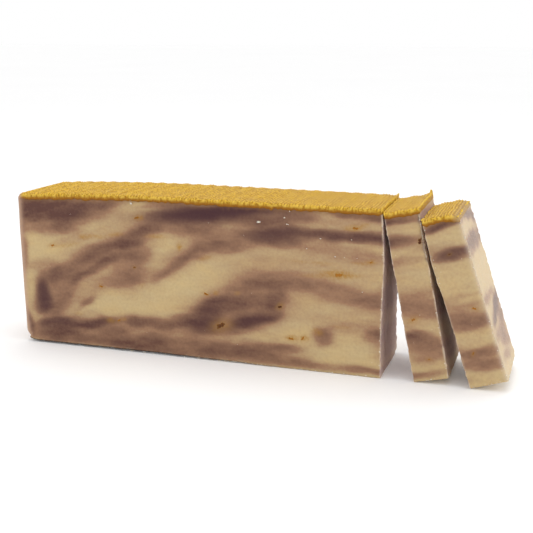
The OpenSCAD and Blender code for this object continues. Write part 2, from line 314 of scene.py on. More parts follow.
def swirl(points):
    """Mauve and purple strengths, 0 to 1, at points of the uncut loaf given as (distance past the
    cut end, depth from the front, height) in millimetres.

    Streaks join as 1 - product(1 - strength * cover). Deeper in the soap the pattern slides along
    the loaf and rises and falls in slow waves. Everywhere it is stirred by noise, and wisps drawn
    out along the pour thin it and thicken it. On the outer slice's outer face the patches take
    over within a few millimetres.
    """
    along, depth, height = points.T
    deep = depth / LOAF.depth
    outer = np.clip((along - OUTER_START) / 2, 0, 1) * np.clip(depth / 1.5, 0, 1)
    along = along + 16 * deep ** 2 * np.sin(height / 23) + 7 * deep * np.sin(along / 31 + 1)
    waves = 6 * deep * np.sin(along / 24 + 2 * deep) + 2.5 * np.sin(3 * deep) * np.sin(height / 9)
    height = height + waves
    stirred = np.stack([along * 0.45, depth, height], axis=1)
    along = along + 3.0 * (value_noise(stirred, 9, 11) - 0.5)
    height = height + 1.8 * (value_noise(stirred, 8, 12) - 0.5)
    height = height + 1.4 * (value_noise(stirred, 3.2, 13) - 0.5)
    rise = 34 * (1 - np.exp(-(along + LOAF.outer_foot) / 75))
    wisp = np.stack([along * 0.12, depth * 0.35, height - rise], axis=1)
    wisp = 0.6 * value_noise(wisp, 4.6, 14) + 0.4 * value_noise(wisp, 2.0, 15) - 0.5
    clear_mauve, clear_purple = clear_of(along, height, STREAKS)
    depth = points[:, 1] + 3 * (value_noise(stirred, 6, 16) - 0.5)
    height = points[:, 2] + 3 * (value_noise(stirred, 5, 17) - 0.5)
    outer_mauve, outer_purple = clear_of(depth, height, OUTER_PATCHES)
    mauve = 1 - (clear_mauve + (outer_mauve - clear_mauve) * outer)
    purple = 1 - (clear_purple + (outer_purple - clear_purple) * outer)
    return np.clip(mauve + 0.26 * wisp * (0.35 + mauve), 0, 1), purple


# ---------- petals ----------

# Each petal fleck of the design: share of the way along, share of the way up, length, tilt, and
# how dark it has gone, 0 to 1. On the loaf the first share runs from the cut end, and on a slice
# from its inner face.
FRONT_PETALS = {
    "loaf": (
        (0.90, 0.65, 4, 20, 0.2), (0.81, 0.72, 3, -30, 0.1), (0.65, 0.86, 3.5, 10, 0.4),
        (0.53, 0.70, 3, 60, 0.1), (0.76, 0.41, 3.5, -15, 0.2), (0.64, 0.44, 3, 40, 0.8),
        (0.66, 0.55, 2.5, 0, 0.7), (0.42, 0.23, 6.5, 25, 0.9), (0.46, 0.42, 4, -20, 0.3),
        (0.71, 0.20, 3, 35, 0.3), (0.07, 0.88, 4, -10, 0.3), (0.11, 0.60, 9, 5, 0.1),
        (0.03, 0.69, 3, 30, 0.3), (0.23, 0.19, 4, 0, 0.2), (0.20, 0.20, 4, 50, 0.2),
        (0.16, 0.25, 4.5, -25, 0.7), (0.26, 0.38, 3, 15, 1.0)),
    "slice_1": ((0.86, 0.81, 4, 80, 1.0), (0.30, 0.37, 6, 20, 0.2), (0.55, 0.13, 3, -10, 0.2)),
    "slice_2": ((0.48, 0.78, 3, 10, 0.9), (0.72, 0.45, 3.5, -30, 0.2), (0.35, 0.20, 3, 50, 0.3)),
}
REAR_PETALS = {
    "loaf": (
        (0.88, 0.34, 4, 15, 0.3), (0.74, 0.70, 3.5, -40, 0.2), (0.60, 0.52, 5, 5, 0.5),
        (0.47, 0.80, 3, 70, 0.2), (0.39, 0.30, 4, -20, 0.7), (0.27, 0.62, 6, 30, 0.2),
        (0.14, 0.42, 3.5, -10, 0.4), (0.06, 0.76, 3, 45, 0.8)),
    "slice_1": ((0.40, 0.60, 4, 35, 0.3), (0.65, 0.28, 3, -15, 0.6)),
    "slice_2": ((0.60, 0.66, 3.5, -25, 0.2), (0.38, 0.35, 4, 10, 0.5)),
}


# Orange smears on the loaf's front face where no petal shows: (distance past the cut end, height,
# half length, half width, tilt in degrees, strength)
SMEARS = (
    (-190, 62.6, 9, 1.5, 12, 0.4), (-177, 68.5, 4.5, 1.4, 8, 0.62), (-169, 69.2, 4.5, 1.1, 0, 0.5),
    (-158, 71, 5, 1.3, 8, 0.5), (-142, 82, 2.4, 1.6, 0, 0.62), (-132.5, 71.5, 6.5, 1.3, 2, 0.5),
    (-118, 66.5, 1.5, 2.6, 0, 0.66), (-102.5, 61, 4, 1.5, 12, 0.44), (-163, 18.5, 3, 1.6, 0, 0.6),
    (-154.5, 20, 1.6, 1.2, 0, 0.55), (-96, 41, 1.8, 1.3, 0, 0.66), (-83, 42, 1.8, 1.2, 0, 0.45),
    (-93, 21.6, 8, 4.6, 18, 0.34), (-24, 57.4, 11, 1.9, 0, 0.85), (-38, 55.4, 8, 1.1, 0, 0.36),
    (-12, 64.4, 6, 1.1, 0, 0.42), (-35, 63, 7, 1.1, 0, 0.34), (-47, 63, 5, 1, 0, 0.3),
    (-17, 83.5, 5, 1.4, 4, 0.72), (-11, 85.4, 3, 1, 8, 0.55), (-51, 18.6, 3.6, 1.5, 0, 0.78),
    (-43.5, 19, 3.2, 1.5, 0, 0.72), (-36, 23.4, 3.4, 2.2, 0, 0.42), (-22, 27.5, 5, 1.2, 0, 0.26),
    (-6.5, 65.6, 3, 1.1, 0, 0.6), (-184, 21, 3, 1, 0, 0.3), (-58, 36.5, 3, 2, 45, 0.4),
)


def petals_of(block):
    """The block's petals, as rows of (u, height, length, tilt in radians, 1 on the front face or
    -1 on the rear face, darkness)."""
    whole_height = block.height + block.layer
    span = block.outer_top if block.is_slice else block.outer_foot
    rows = []
    for side, table in ((1, FRONT_PETALS), (-1, REAR_PETALS)):
        for share, up, length, tilt, dark in table[block.name]:
            along = share if block.is_slice else 1 - share
            rows.append((along * span, up * whole_height, length, math.radians(tilt), side, dark))
    return rows


def petal_stain(block, points):
    """Strength, 0 to 1, of the orange that the petals bleed into the soap: an oval around each,
    exp(-q), drawn out along it and a few millimetres deep, and the loaf's smears."""
    u, y, w = points.T
    clear = np.ones(len(points))
    for pu, pw, length, tilt, side, dark in petals_of(block):
        depth = (y + side * block.depth / 2) * side
        du, dw = u - pu, w - pw
        run = du * math.cos(tilt) + dw * math.sin(tilt)
        across = dw * math.cos(tilt) - du * math.sin(tilt)
        q = (run / (0.62 * length)) ** 2 + (across / (0.24 * length + 0.4)) ** 2 + (depth / 3) ** 2
        clear *= 1 - (0.6 - 0.35 * dark) * np.exp(-q)
    if block is LOAF:
        along, depth, height = block.uncut(points).T
        for *smear, strength in SMEARS:
            cover, _ = covers(along, height, smear)
            clear *= 1 - strength * cover * np.exp(-(depth / 3) ** 2)
    return 1 - clear


# ---------- meshes ----------

def spaced(length, step, edge_step, margin):
    """Distances from 0 to a length: close together within a margin of both ends."""
    near = np.arange(0, margin, edge_step)
    middle = np.linspace(margin, length - margin, max(2, round((length - 2 * margin) / step) + 1))
    return np.concatenate([near, middle, length - near[::-1]])


def lattice_shell(us, ys, ws):
    """The skin of a box lattice with these coordinates: points (u, y, w) that the six faces share
    along their edges, and four-cornered faces that point outwards."""
    shape = len(us), len(ys), len(ws)
    inside = np.zeros(shape, bool)
    inside[1:-1, 1:-1, 1:-1] = True
    number = np.full(shape, -1)
    number[~inside] = np.arange((~inside).sum())
    i, j, k = np.nonzero(~inside)
    points = np.stack([us[i], ys[j], ws[k]], axis=1)

    def sheet(grid, flip):
        a, b, c, d = grid[:-1, :-1], grid[1:, :-1], grid[1:, 1:], grid[:-1, 1:]
        corners = (d, c, b, a) if flip else (a, b, c, d)
        return np.stack([corner.ravel() for corner in corners], axis=1)

    faces = [sheet(number[:, :, -1], False), sheet(number[:, :, 0], True),
             sheet(number[-1], False), sheet(number[0], True),
             sheet(number[:, 0], False), sheet(number[:, -1], True)]
    return points, np.concatenate(faces)


def outward(points, faces):
    """Unit normals at points: the sum over the faces around each of its crossed diagonals."""
    corners = points[faces]
    crossed = np.cross(corners[:, 2] - corners[:, 0], corners[:, 3] - corners[:, 1])
    total = np.zeros_like(points)
    for corner in range(4):
        np.add.at(total, faces[:, corner], crossed)
    return total / np.maximum(np.linalg.norm(total, axis=1, keepdims=True), 1e-9)


def round_corner(a, b, r):
    """Round the corner where distances a and b from two faces are both below r: a point that lies
    on a face moves to the circle of radius r about the point (r, r)."""
    da, db = np.maximum(r - a, 0), np.maximum(r - b, 0)
    both = (da > 0) & (db > 0)
    shrink = np.where(both, np.maximum(da, db) / np.maximum(np.hypot(da, db), 1e-9), 1)
    return np.where(both, r - da * shrink, a), np.where(both, r - db * shrink, b)


def near_edge(a, b, reach):
    """1 on the edge where distances a and b from two faces are both 0, fading as
    exp(-(a^2 + b^2) / reach^2)."""
    return np.exp(-(a ** 2 + b ** 2) / reach ** 2)


def rim_of_end(to_end, radius):
    """Strength of the plain pinkish skin on the moulded end and round its upright edges:
    exp(-(distance / radius)^4), with the distance measured from the end face."""
    return np.exp(-(to_end / (0.95 * radius)) ** 4)


def weld(mesh):
    """Join points that coincide, and turn every face outwards."""
    joined = bmesh.new()
    joined.from_mesh(mesh)
    bmesh.ops.remove_doubles(joined, verts=joined.verts, dist=1e-7)
    bmesh.ops.recalc_face_normals(joined, faces=joined.faces)
    joined.to_mesh(mesh)
    joined.free()


def add_piece(name, points, faces, material, fields=None, welded=False):
    """A smooth mesh object from points in millimetres of the frame, with point fields of up to
    three numbers for its material to read."""
    mesh = bpy.data.meshes.new(name)
    mesh.from_pydata((points * MM).tolist(), [], faces)
    for field, values in (fields or {}).items():
        layer = mesh.attributes.new(field, "FLOAT_VECTOR", "POINT")
        filled = np.zeros((len(points), 3), np.float32)
        for column, value in enumerate(values):
            filled[:, column] = value
        layer.data.foreach_set("vector", filled.ravel())
    if welded:
        weld(mesh)
    mesh.polygons.foreach_set("use_smooth", np.ones(len(mesh.polygons), bool))
    mesh.materials.append(material)
    mesh.validate()
    mesh.update()
    piece = bpy.data.objects.new(name, mesh)
    bpy.context.scene.collection.objects.link(piece)
    return piece


# ---------- soap ----------

# Spacing of the points over the faces, spacing near the edges, and how far from them that reaches
LOAF_STEPS = (1.15, 0.42, 2.5)
SLICE_STEPS = (0.75, 0.35, 2.5)
ON_FACE = 1e-6              # a point this near to a face lies on it
LEAST_HEIGHT = 0.02         # nothing of the soap comes nearer to the table
FOOT_CHIP = 0.35            # depth of the chips along the front foot
BREAKS_START = 0.66         # slice 1's outer edge is broken above this share of its height

# How dusty a block's inner and outer cut faces are
DUST = {"loaf": (0, 0.8), "slice_1": (0.8, 0.45), "slice_2": (0.45, 0)}


def soap_mesh(block, sizes):
    """A block of soap: a box lattice whose moulded corners are rounded, whose faces take the
    design's draft, wedge and falling top, and whose skin is pushed along its normals by noise:
    slow waves on the moulded faces, a rough skin on the cut ones, and crumbled lips where a cut
    face meets them."""
    steps = SLICE_STEPS if block.is_slice else LOAF_STEPS
    length = block.outer_foot
    sides = length, block.depth, block.height
    points, faces = lattice_shell(*(spaced(side, *steps) for side in sides))
    u, y, w = points.T
    to_inner, to_outer, to_front, to_rear = u, length - u, y, block.depth - y
    to_foot, to_top = w, block.height - w

    front, rear, foot = to_front, to_rear, to_foot
    inner = to_inner
    if block is LOAF:
        inner, front = round_corner(inner, front, sizes.end_edge_radius)
        inner, rear = round_corner(inner, rear, sizes.end_edge_radius)
        inner, foot = round_corner(inner, foot, sizes.end_foot_radius)
    rear, foot = round_corner(rear, foot, sizes.rear_foot_radius)
    blunt = np.clip((-50 - block.past_cut - u) / 80, 0, 1)
    front, foot = round_corner(front, foot, sizes.front_foot_radius * (1 - 0.6 * blunt))
    foot = foot + sizes.foot_gap * blunt * np.exp(-(to_front / 6) ** 2 - (foot / 4) ** 2)
    u = np.where(to_inner < length / 2, inner, u)
    y = np.where(to_front < block.depth / 2, front, block.depth - rear) - block.depth / 2
    share = u / length
    w = foot * block.crest_height(share) / block.height
    points = np.stack([block.face_u(share, y, w), y, w], axis=1)
    plain = points

    normals = outward(points, faces)
    place = block.uncut(points)
    outer_face = to_outer < ON_FACE
    cut_skin = outer_face | (to_inner < ON_FACE) & block.is_slice
    slow = value_noise(place, 17, 21) - 0.5
    rough = value_noise(place * (1, 1, 0.6), 1.5, 22) - 0.5
    push = sizes.hand_waviness * slow + np.where(cut_skin, sizes.cut_roughness * rough, 0)
    lip = np.zeros(len(points))
    crumbled = value_noise(place, 1.6, 23)
    torn = value_noise(place, 4.5, 24)
    for cut_distance, raggedness in ((to_outer, 1.0), (to_inner, 0.55 * block.is_slice)):
        for side_distance in (to_front, to_rear):
            edge = raggedness * near_edge(cut_distance, side_distance, 0.9)
            push += sizes.cut_lip * edge * (1.5 * crumbled - 0.75 + 0.9 * (torn - 0.5))
            lip = np.maximum(lip, raggedness * near_edge(cut_distance, side_distance, 0.55))
        foot_edge = raggedness * near_edge(cut_distance, to_foot, 0.8)
        push += sizes.cut_lip * 0.6 * foot_edge * (crumbled - 0.6)
        lip = np.maximum(lip, 0.7 * foot_edge)
    foot_chips = near_edge(to_front, to_foot, 1.1) * np.clip(3 * crumbled - 1.6, 0, 1)
    push -= FOOT_CHIP * foot_chips
    if block is SLICE_1:
        high = np.clip((w / block.height - BREAKS_START) / 0.1, 0, 1)
        break_edge = high * near_edge(to_outer, to_front, 1.5)
        push -= sizes.edge_tear * break_edge * np.clip(2.4 * torn - 0.6, 0, 1)
        lip = np.maximum(lip, break_edge)
    points = points + normals * push[:, None]
    points[:, 2] = np.maximum(points[:, 2], LEAST_HEIGHT)

    mauve, purple = swirl(block.uncut(plain))
    # cut faces that look into the gaps are dusty and mauve, and the outermost is chalky and painted
    # paler, partly as painted light for the side lit from the right
    inner_dust, outer_dust = DUST[block.name]
    dusty = cut_skin * np.where(outer_face, outer_dust, inner_dust)
    # partly real chalky skin, partly painted light: slice 2's outer face, which the right lamp lights,
    # and the strip beside it are painted paler
    dry_and_lit = 0
    if block is SLICE_2:
        dry_and_lit = np.maximum(outer_face, 0.8 * np.exp(-(to_outer / 1.6) ** 2))
    lip = np.maximum(lip * np.clip(2.4 * crumbled - 0.5, 0, 1), 0.8 * foot_chips)
    rim = rim_of_end(to_inner, sizes.end_edge_radius) if block is LOAF else 0
    under_lip = np.exp(-(to_top / (0.8 + 1.6 * crumbled)) ** 2) * (1 - cut_skin) * (1 - rim)
    # painted shadow: a dark line along the bottom of the front face towards the moulded end, where the
    # foot stands clear of the table
    painted_foot_shadow = blunt * np.exp(-(to_foot / 0.75) ** 4) * np.exp(-(to_front / 9) ** 2)
    fields = {
        "painted_foot_shadow": (painted_foot_shadow,),
        "swirl": (mauve, purple, petal_stain(block, points)),
        "edges": (dry_and_lit, dusty, lip),
        "rim": (rim, cut_skin, under_lip),
    }
    return block.placed(points), faces.tolist(), fields


# ---------- top layers ----------

POINTS_PER_RIDGE = 4.5
END_TOP_RADIUS = 2.9        # rounding of the top edge at the moulded end
END_TOP_SHORT = 0.9         # the top layer stops this far short of the moulded end


def comb_wave(distance, pitch):
    """0 at the comb's crests and 1 in its hollows, as (1 - cos(2 pi distance / pitch)) / 2."""
    return (1 - np.cos(2 * np.pi * distance / pitch)) / 2


def top_mesh(block, sizes):
    """A combed top layer: a thin box lattice laid on the soap. Its upper side sinks by the broad
    wave of the comb and by the fine ridges of its teeth, both of which run from front to rear.
    Its front and rear lips bulge past the soap and hang down unevenly, its moulded end is
    rounded, and crumbled burrs stand along the cut edges."""
    length, thick = block.outer_top, block.layer
    us = spaced(length, sizes.ridge_pitch / POINTS_PER_RIDGE, 0.22, 1.6)
    points, faces = lattice_shell(us, spaced(block.depth, 1.5, 0.3, 1.8), np.linspace(0, thick, 6))
    u, y, w = points.T
    to_inner, to_outer, to_front, to_rear = u, length - u, y, block.depth - y
    to_top, up = thick - w, w / thick
    near_end = 0 if block.is_slice else np.exp(-(to_inner / 5) ** 2)
    lip_radius = 0.9 + 1.3 * near_end
    front, top = round_corner(to_front, to_top, lip_radius)
    rear, top = round_corner(to_rear, top, lip_radius)
    inner = to_inner
    if block is LOAF:
        inner, top = round_corner(inner, top, END_TOP_RADIUS)
        inner = inner + END_TOP_SHORT * np.exp(-(to_inner / 2.5) ** 2)
        inner, front = round_corner(inner, front, sizes.end_edge_radius)
        inner, rear = round_corner(inner, rear, sizes.end_edge_radius)
    y = np.where(to_front < block.depth / 2, front, block.depth - rear) - block.depth / 2
    u = np.where(to_inner < length / 2, inner, u)
    w = thick - top

    place = block.uncut(np.stack([u, y, w], axis=1))
    wander = 0.6 * (value_noise(place * (1, 0.5, 0), 5, 31) - 0.5)
    teeth = comb_wave(-place[:, 0] + wander, sizes.ridge_pitch)
    broad = comb_wave(-place[:, 0] + 0.6 * wander, sizes.comb_pitch)
    grain = value_noise(place, 1.1, 32)
    lumps = value_noise(place * (1, 1, 0), 3.2, 33)
    sink = sizes.comb_depth * broad + sizes.ridge_depth * teeth * (0.5 + lumps)
    sink += sizes.top_grain * (1 - grain) - sizes.top_crown

    low_edge = np.clip(1 - 2.2 * up, 0, 1)
    belly = np.sqrt(np.clip(4 * up * (1 - up) + 0.25, 0, 1))
    lip_in = np.exp(-(to_front / 0.35) ** 2), np.exp(-(to_rear / 0.35) ** 2)
    beads = value_noise(place * (1, 0, 0.8), 1.3, 34)
    drape = value_noise(place * (1, 0, 0), 4.2, 35)
    clear_of_end = 1.0 if block.is_slice else np.clip((to_inner - 3) / 5, 0, 1)
    bulge = sizes.lip_bulge * (0.3 + 1.2 * beads) * belly * clear_of_end
    y = y - lip_in[0] * bulge + lip_in[1] * bulge
    drips = value_noise(place * (1, 0, 0), 1.9, 37)
    hang = sizes.lip_hang * (0.7 * drape + 0.9 * drips + 0.5 * beads - 0.45)
    hang = hang * (lip_in[0] + lip_in[1]) * clear_of_end

    burr = np.zeros(len(points))
    outer_burr = 0.2 if block is SLICE_2 else 1.0
    for cut_distance, height in ((to_outer, outer_burr), (to_inner, 0.5 * block.is_slice)):
        burr += height * np.exp(-(cut_distance / 0.55) ** 2) * up ** 2
    crumbled = value_noise(place * (1, 1, 0), 1.3, 36)
    share = np.clip(u / length, -0.02, 1.02)
    w = w - up * sink - low_edge * hang + sizes.top_burr * burr * np.clip(2.2 * crumbled - 0.5, 0, 2)
    if block is SLICE_2:
        w -= 1.3 * up * np.clip(1 - to_outer / 2.6, 0, 1) ** 2 * (0.6 + 0.8 * crumbled)
    if block is SLICE_1:
        tip = np.exp(-((to_outer - 0.4) ** 2 + (to_rear - 0.8) ** 2) / 1.1 ** 2)
        w += sizes.flake_height * tip * up
    height = block.crest_height(share) + w
    at_share = block.face_u(share, y, block.height)
    points = np.stack([at_share + (u - share * length), y, height], axis=1)
    points[:, 0] += burr * sizes.top_burr * (crumbled - 0.55)
    lip = np.clip(lip_in[0] + lip_in[1], 0, 1)
    rim = 0
    if block is LOAF:
        wall = np.minimum(to_inner, to_front)
        rim = rim_of_end(to_inner, sizes.end_edge_radius) * np.exp(-(wall / 1.2) ** 2)
    fallen = 0
    if block is SLICE_2:
        fallen = np.clip(1.25 - to_outer / 3.2 + 0.6 * (lumps - 0.5), 0, 1)
    fields = {
        "comb": (teeth, broad, lip * beads),
        "edges": (lip * np.clip(1.1 - 1.7 * up, 0, 1), burr * crumbled, rim),
        "worn": (fallen,),
    }
    return block.placed(points), faces.tolist(), fields


# ---------- petals and crumbs ----------

PETAL_SIDES = (0.10, -0.5)  # how far a petal's two sides stand out of the face, and into it
PETAL_GRID = (16, 4)        # spokes and rings of a petal's side


def petal_mesh(block):
    """Petal flecks: each is a closed lens on rings and spokes. Its rim is a pointed oval with a
    ragged edge, radius = length / 2 (cos^2 + share^2 sin^2)^0.5 (1 + noise), and its two sides
    rise from the face plane by thickness (1 - ring^2)."""
    draws = np.random.default_rng(41)
    spokes, rings = PETAL_GRID
    angle = np.linspace(0, 2 * np.pi, spokes, endpoint=False)
    ring = np.linspace(1, 0, rings, endpoint=False)
    points, faces, shades, start = [], [], [], 0
    for pu, pw, length, tilt, side, dark in petals_of(block):
        ragged = 1 + 0.20 * draws.standard_normal(spokes)
        size = min(length, 6.0) * (0.62 + 0.3 * dark)
        radius = size / 2 * np.hypot(np.cos(angle), 0.40 * np.sin(angle))
        radius = radius * np.clip(ragged, 0.6, 1.4)
        for bulge in PETAL_SIDES:
            reach = ring[:, None] * radius
            run, across = reach * np.cos(angle), reach * np.sin(angle) * 0.8
            lift = np.repeat(bulge * (1 - ring[:, None] ** 2), spokes, axis=1)
            lift += 0.06 * bulge * draws.standard_normal(lift.shape) * (ring[:, None] < 1)
            sheet = np.stack([pu + run * math.cos(tilt) - across * math.sin(tilt),
                              -side * (block.depth / 2 + lift),
                              pw + run * math.sin(tilt) + across * math.cos(tilt)], axis=2)
            centre = [[pu, -side * (block.depth / 2 + bulge), pw]]
            points.append(np.concatenate([sheet.reshape(-1, 3), centre]))
            shades.append(np.append(dark - 0.35 * np.repeat(ring ** 3, spokes), dark))
            flip = (bulge > 0) != (side > 0)
            faces.extend(disc_faces(start, spokes, rings, flip))
            start += spokes * rings + 1
    return block.placed(np.concatenate(points)), faces, {"shade": (np.concatenate(shades),)}


def disc_faces(start, spokes, rings, flip):
    """Faces of a disc whose points are rings of spokes, from the rim in, and then its centre."""
    faces = []
    for s in range(spokes):
        t = (s + 1) % spokes
        for r in range(rings - 1):
            a, b = start + r * spokes, start + (r + 1) * spokes
            faces.append((a + s, a + t, b + t, b + s))
        last = start + (rings - 1) * spokes
        faces.append((last + s, last + t, start + rings * spokes))
    return [face[::-1] for face in faces] if flip else faces


GOLDEN = (1 + 5 ** 0.5) / 2
GRAIN_CORNERS = np.array([
    (-1, GOLDEN, 0), (1, GOLDEN, 0), (-1, -GOLDEN, 0), (1, -GOLDEN, 0),
    (0, -1, GOLDEN), (0, 1, GOLDEN), (0, -1, -GOLDEN), (0, 1, -GOLDEN),
    (GOLDEN, 0, -1), (GOLDEN, 0, 1), (-GOLDEN, 0, -1), (-GOLDEN, 0, 1)]) / math.hypot(1, GOLDEN)
GRAIN_FACES = np.array([
    (0, 11, 5), (0, 5, 1), (0, 1, 7), (0, 7, 10), (0, 10, 11), (1, 5, 9), (5, 11, 4),
    (11, 10, 2), (10, 7, 6), (7, 1, 8), (3, 9, 4), (3, 4, 2), (3, 2, 6), (3, 6, 8), (3, 8, 9),
    (4, 9, 5), (2, 4, 11), (6, 2, 10), (8, 6, 7), (9, 8, 1)])


def grains(centres, sizes, draws):
    """Crumbs: a twenty-sided grain at each centre, with every corner moved in or out at random."""
    count = len(centres)
    wobble = 1 + 0.28 * draws.standard_normal((count, 12, 1))
    stretch = 0.7 + 0.6 * draws.random((count, 1, 3))
    corners = GRAIN_CORNERS * np.clip(wobble, 0.5, 1.5) * stretch * sizes[:, None, None]
    points = centres[:, None] + corners
    faces = GRAIN_FACES + len(GRAIN_CORNERS) * np.arange(count)[:, None, None]
    return points.reshape(-1, 3), faces.reshape(-1, 3).tolist()


# Larger white specks on the loaf's front face: (distance past the cut end, height, radius)
SPECKS = ((-147, 90, 0.85), (-70, 83.7, 0.6), (-53.5, 83.5, 0.5), (-52.5, 83.2, 0.45), (-55, 87, 0.35),
          (-52, 90.5, 0.4), (-34.5, 76.5, 0.35), (-17, 77, 0.35), (-14, 67, 0.3), (-21, 67, 0.3),
          (-26, 67, 0.25), (-42, 70.5, 0.3), (-10.5, 48.5, 0.35))


def soap_crumbs(block):
    """Pale crumbs on a block: along its cut edges, on the front of its foot, and a few specks on
    the front face."""
    draws = np.random.default_rng(51 + BLOCKS.index(block))
    front = -block.depth / 2
    height = block.height
    spots = []

    def scatter(count, u, y, w, size):
        """Random places between pairs of bounds on u, y and w."""
        low, high = np.array([u, y, w], float).T
        places = low + (high - low) * draws.random((count, 3))
        spots.append((places, size * (0.5 + draws.random(count))))

    outer = (block.outer_foot + block.outer_top) / 2
    for share in draws.uniform(0.02, 0.98, 34):
        w = share * height
        edge_u = float(block.face_u(1.0, front, w))
        scatter(1, (edge_u - 0.7, edge_u), (front - 0.12, front + 0.1), (w - 1.2, w + 1.2), 0.24)
        if block.is_slice:
            scatter(1, (0, 0.4), (front - 0.1, front + 0.1), (w - 1.2, w + 1.2), 0.15)
    if block.is_slice:
        scatter(8, (1, outer - 1), (front - 0.1, front + 0.25), (0.3, 1.1), 0.26)
        scatter(8, (1, outer - 1), (front - 0.05, front), (6, 86), 0.12)
    else:
        scatter(56, (0.30 * outer, outer - 1), (front - 0.1, front + 0.25), (0.3, 1.1), 0.26)
        scatter(16, (4, outer), (front - 0.05, front), (8, 88), 0.12)
        for along, w, width in SPECKS:
            scatter(1, (outer + along, outer + along + 0.3), (front - 0.1, front), (w, w + 0.3), width)
    centres = np.concatenate([places for places, _ in spots])
    centres[:, 2] = np.maximum(centres[:, 2], 0.5)
    sizes = np.concatenate([size for _, size in spots])
    points, faces = grains(centres, sizes, draws)
    return block.placed(points), faces


def top_crumbs(block):
    """Bright crumbs on a top layer: in a row along its front edge, on its cut edges and a few on
    the combed top."""
    draws = np.random.default_rng(61 + BLOCKS.index(block))
    length, half = block.outer_top, block.depth / 2
    rows = []
    count = round(length / 1.3)
    start = 0.8 if block.is_slice else 7.0
    along = np.linspace(start, length - 0.8, count) + 0.3 * draws.standard_normal(count)
    crest = block.crest_height(along / length) + block.layer
    rows.append((np.stack([along, np.full(count, -half - 0.05), crest - 0.35
                           - 0.5 * draws.random(count)], axis=1), 0.33))
    for cut_u, dense in ((length - 0.2, 1.0), (0.2, 0.5 * block.is_slice)):
        count = round(64 * dense)
        depth = np.linspace(-half, half, count) + 0.4 * draws.standard_normal(count)
        top = float(block.crest_height(cut_u / length)) + block.layer
        if block is SLICE_2 and cut_u > length / 2:
            top, cut_u = top - 0.9, cut_u - 0.5
        rows.append((np.stack([cut_u + 0.2 * draws.standard_normal(count),
                               np.clip(depth, 0.4 - half, half - 0.4),
                               top - 0.1 + 0.15 * draws.standard_normal(count)], axis=1), 0.42))
    count = round(length / 6)
    along = start + (length - start - 1) * draws.random(count)
    top = block.crest_height(along / length) + block.layer - 0.45
    rows.append((np.stack([along, 0.97 * half * (2 * draws.random(count) - 1), top], axis=1), 0.28))
    centres = np.concatenate([row for row, _ in rows])
    sizes = np.concatenate([np.full(len(row), size) for row, size in rows])
    sizes *= 0.45 + 0.9 * draws.random(len(sizes))
    points, faces = grains(centres, sizes, draws)
    return block.placed(points), faces


# ---------- materials ----------

class Recipe:
    """A new material with a Principled surface, and short ways to add and join its nodes."""

    def __init__(self, name):
        self.material = bpy.data.materials.new(name)
        self.material.use_nodes = True
        self.tree = self.material.node_tree
        self.surface = self.tree.nodes["Principled BSDF"]
        coordinates = self.tree.nodes.new("ShaderNodeTexCoord")
        self.place = coordinates.outputs["Object"]

    def join(self, source, socket):
        """Link a source socket, or set a plain value."""
        if isinstance(source, bpy.types.NodeSocket):
            self.tree.links.new(source, socket)
        else:
            socket.default_value = source

    def field(self, name):
        """The three numbers of a point field."""
        node = self.tree.nodes.new("ShaderNodeAttribute")
        node.attribute_name = name
        split = self.tree.nodes.new("ShaderNodeSeparateXYZ")
        self.tree.links.new(node.outputs["Vector"], split.inputs[0])
        return split.outputs[0], split.outputs[1], split.outputs[2]

    def noise(self, size_mm, detail=2.0, stretch=(1, 1, 1)):
        """Noise with features of about this size."""
        mapping = self.tree.nodes.new("ShaderNodeMapping")
        mapping.inputs["Scale"].default_value = stretch
        self.tree.links.new(self.place, mapping.inputs["Vector"])
        node = self.tree.nodes.new("ShaderNodeTexNoise")
        node.inputs["Scale"].default_value = 1 / (size_mm * MM)
        node.inputs["Detail"].default_value = detail
        self.tree.links.new(mapping.outputs[0], node.inputs["Vector"])
        return node.outputs["Fac"]

    def math(self, operation, a, b=0.0, clamp=False):
        """One Math node."""
        node = self.tree.nodes.new("ShaderNodeMath")
        node.operation = operation
        node.use_clamp = clamp
        self.join(a, node.inputs[0])
        self.join(b, node.inputs[1])
        return node.outputs[0]

    def span(self, value, low, high, to_low=0.0, to_high=1.0):
        """Map a value from one range to another, and hold it at the ends."""
        node = self.tree.nodes.new("ShaderNodeMapRange")
        for socket, number in zip(("Value", "From Min", "From Max", "To Min", "To Max"),
                                  (value, low, high, to_low, to_high)):
            self.join(number, node.inputs[socket])
        return node.outputs[0]

    def times(self, a, b, clamp=False):
        """The product of two values."""
        return self.math("MULTIPLY", a, b, clamp)

    def mix(self, share, a, b):
        """Mix two colours."""
        node = self.tree.nodes.new("ShaderNodeMix")
        node.data_type = "RGBA"
        self.join(share, node.inputs["Factor"])
        for value, socket in ((a, node.inputs[6]), (b, node.inputs[7])):
            self.join(value if isinstance(value, bpy.types.NodeSocket) else (*value, 1), socket)
        return node.outputs[2]

    def layered(self, colour, *layers):
        """Lay colours over a first one, each with its share."""
        for share, tint in layers:
            colour = self.mix(share, colour, tint)
        return colour

    def bump(self, height, strength, distance_mm):
        """Bump the surface by a height."""
        node = self.tree.nodes.new("ShaderNodeBump")
        node.inputs["Strength"].default_value = strength
        node.inputs["Distance"].default_value = distance_mm * MM
        self.join(height, node.inputs["Height"])
        self.join(node.outputs[0], self.surface.inputs["Normal"])

    def finish(self, colour, roughness, glow_through=0.0, specular=0.4):
        """Give the surface its colour, roughness, soft scattering and gloss."""
        self.join(colour, self.surface.inputs["Base Color"])
        self.join(roughness, self.surface.inputs["Roughness"])
        self.surface.inputs["Specular IOR Level"].default_value = specular
        self.surface.inputs["Subsurface Weight"].default_value = glow_through
        self.surface.inputs["Subsurface Radius"].default_value = (1.0, 0.55, 0.25)
        self.surface.inputs["Subsurface Scale"].default_value = 2.0 * MM
        return self.material


